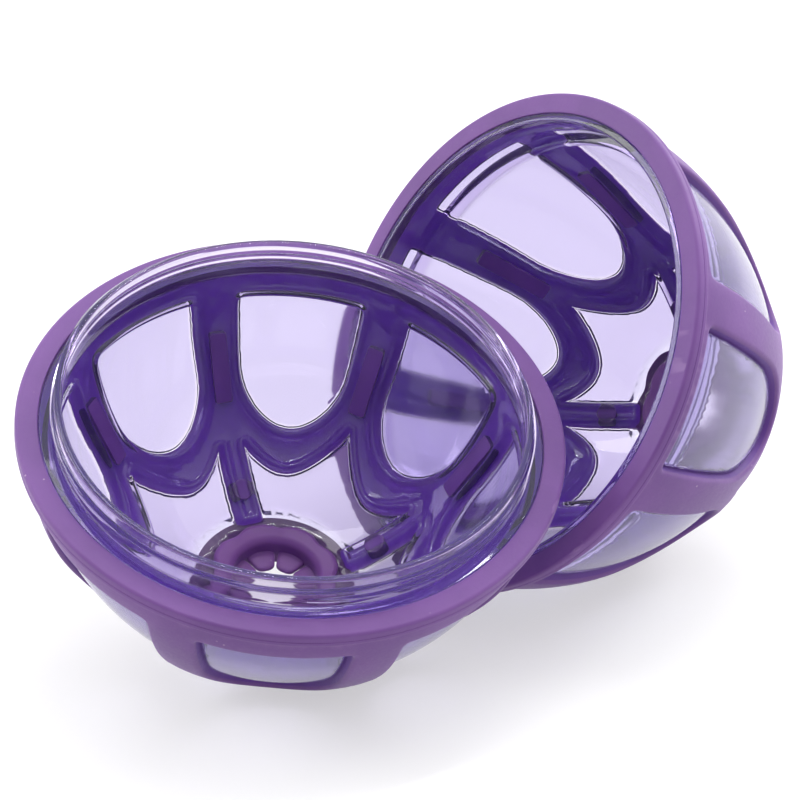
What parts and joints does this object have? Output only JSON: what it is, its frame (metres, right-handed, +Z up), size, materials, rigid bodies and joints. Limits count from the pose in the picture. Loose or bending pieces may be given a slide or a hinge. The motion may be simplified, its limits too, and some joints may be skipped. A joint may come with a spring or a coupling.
{
  "type": "treat dispensing toy",
  "caption": "Hollow egg shaped treat dispenser, opened: clear tinted halves with a screw neck, rubber rim rings, rubber petal cages and flexible pronged outlets at the poles.",
  "frame": {"origin": "Middle of the footprint, on the surface the toy stands on.", "axes": "+Z up, +Y away from the viewer of the picture, +X to the right. The screw-necked half is at -X, leaning toward the viewer; the deeper half is at +X, lying on its side with its mouth toward the first."},
  "size_m": [0.1844, 0.1706, 0.1204],
  "materials": {
    "clear_shell": "clear tinted, polished",
    "rubber": "matte moulded thermoplastic rubber"
  },
  "bodies": {
    "base": {"base_shell": "clear_shell", "base_rim_bumper": "rubber", "base_rib_cage": "rubber", "base_outlet_ring": "rubber"},
    "cap_collar": {"cap_rim_bumper": "rubber"},
    "cap": {"cap_shell": "clear_shell", "cap_rib_cage": "rubber", "cap_outlet_ring": "rubber"},
    "base_prong_1": {"base_prong_1": "rubber"},
    "base_prong_2": {"base_prong_2": "rubber"},
    "base_prong_3": {"base_prong_3": "rubber"},
    "base_prong_4": {"base_prong_4": "rubber"},
    "base_prong_5": {"base_prong_5": "rubber"},
    "base_prong_6": {"base_prong_6": "rubber"},
    "base_prong_7": {"base_prong_7": "rubber"},
    "base_prong_8": {"base_prong_8": "rubber"},
    "cap_prong_1": {"cap_prong_1": "rubber"},
    "cap_prong_2": {"cap_prong_2": "rubber"},
    "cap_prong_3": {"cap_prong_3": "rubber"},
    "cap_prong_4": {"cap_prong_4": "rubber"},
    "cap_prong_5": {"cap_prong_5": "rubber"},
    "cap_prong_6": {"cap_prong_6": "rubber"},
    "cap_prong_7": {"cap_prong_7": "rubber"},
    "cap_prong_8": {"cap_prong_8": "rubber"}
  },
  "joints": [
    {"name": "cap_swing", "type": "hinge", "parent": "base", "child": "cap_collar", "pos_m": [-0.00653, -0.00586, 0.05158], "axis": [0.7073, -0.6957, -0.1255], "range_deg": [0, 127]},
    {"name": "cap_twist", "type": "hinge", "parent": "cap_collar", "child": "cap", "pos_m": [0.02047, 0.01927, 0.06445], "axis": [-0.7293, -0.505, 0.4617], "range_deg": [0, 90]},
    {"name": "base_prong_1_flex", "type": "hinge", "parent": "base", "child": "base_prong_1", "pos_m": [-0.03245, -0.01293, 0.00542], "axis": [-0.9259, -0.3762, -0.0336], "range_deg": [-30, 30], "stiffness_Nm_per_rad": 0.004},
    {"name": "base_prong_2_flex", "type": "hinge", "parent": "base", "child": "base_prong_2", "pos_m": [-0.02764, -0.00842, 0.00662], "axis": [-0.4005, -0.8673, -0.2956], "range_deg": [-30, 30], "stiffness_Nm_per_rad": 0.004},
    {"name": "base_prong_3_flex", "type": "hinge", "parent": "base", "child": "base_prong_3", "pos_m": [-0.02749, -0.0022, 0.00908], "axis": [0.3595, -0.8503, -0.3844], "range_deg": [-30, 30], "stiffness_Nm_per_rad": 0.004},
    {"name": "base_prong_4_flex", "type": "hinge", "parent": "base", "child": "base_prong_4", "pos_m": [-0.03209, 0.0021, 0.01137], "axis": [0.9089, -0.3352, -0.2481], "range_deg": [-30, 30], "stiffness_Nm_per_rad": 0.004},
    {"name": "base_prong_5_flex", "type": "hinge", "parent": "base", "child": "base_prong_5", "pos_m": [-0.03874, 0.00195, 0.01215], "axis": [0.9259, 0.3762, 0.0336], "range_deg": [-30, 30], "stiffness_Nm_per_rad": 0.004},
    {"name": "base_prong_6_flex", "type": "hinge", "parent": "base", "child": "base_prong_6", "pos_m": [-0.04354, -0.00255, 0.01096], "axis": [0.4005, 0.8673, 0.2956], "range_deg": [-30, 30], "stiffness_Nm_per_rad": 0.004},
    {"name": "base_prong_7_flex", "type": "hinge", "parent": "base", "child": "base_prong_7", "pos_m": [-0.04369, -0.00878, 0.00849], "axis": [-0.3595, 0.8503, 0.3844], "range_deg": [-30, 30], "stiffness_Nm_per_rad": 0.004},
    {"name": "base_prong_8_flex", "type": "hinge", "parent": "base", "child": "base_prong_8", "pos_m": [-0.03909, -0.01308, 0.0062], "axis": [-0.9089, 0.3352, 0.2481], "range_deg": [-30, 30], "stiffness_Nm_per_rad": 0.004},
    {"name": "cap_prong_1_flex", "type": "hinge", "parent": "cap", "child": "cap_prong_1", "pos_m": [0.08197, 0.05249, 0.03298], "axis": [-0.0632, -0.6223, -0.7803], "range_deg": [-30, 30], "stiffness_Nm_per_rad": 0.004},
    {"name": "cap_prong_2_flex", "type": "hinge", "parent": "cap", "child": "cap_prong_2", "pos_m": [0.08061, 0.05788, 0.03673], "axis": [0.4371, -0.863, -0.2534], "range_deg": [-30, 30], "stiffness_Nm_per_rad": 0.004},
    {"name": "cap_prong_3_flex", "type": "hinge", "parent": "cap", "child": "cap_prong_3", "pos_m": [0.07656, 0.06317, 0.03612], "axis": [0.6813, -0.5982, 0.4219], "range_deg": [-30, 30], "stiffness_Nm_per_rad": 0.004},
    {"name": "cap_prong_4_flex", "type": "hinge", "parent": "cap", "child": "cap_prong_4", "pos_m": [0.07218, 0.06528, 0.03151], "axis": [0.5264, 0.017, 0.85], "range_deg": [-30, 30], "stiffness_Nm_per_rad": 0.004},
    {"name": "cap_prong_5_flex", "type": "hinge", "parent": "cap", "child": "cap_prong_5", "pos_m": [0.07005, 0.06296, 0.0256], "axis": [0.0632, 0.6223, 0.7803], "range_deg": [-30, 30], "stiffness_Nm_per_rad": 0.004},
    {"name": "cap_prong_6_flex", "type": "hinge", "parent": "cap", "child": "cap_prong_6", "pos_m": [0.0714, 0.05758, 0.02185], "axis": [-0.4371, 0.863, 0.2534], "range_deg": [-30, 30], "stiffness_Nm_per_rad": 0.004},
    {"name": "cap_prong_7_flex", "type": "hinge", "parent": "cap", "child": "cap_prong_7", "pos_m": [0.07545, 0.05228, 0.02246], "axis": [-0.6813, 0.5982, -0.4219], "range_deg": [-30, 30], "stiffness_Nm_per_rad": 0.004},
    {"name": "cap_prong_8_flex", "type": "hinge", "parent": "cap", "child": "cap_prong_8", "pos_m": [0.07983, 0.05018, 0.02707], "axis": [-0.5264, -0.017, -0.85], "range_deg": [-30, 30], "stiffness_Nm_per_rad": 0.004}
  ]
}
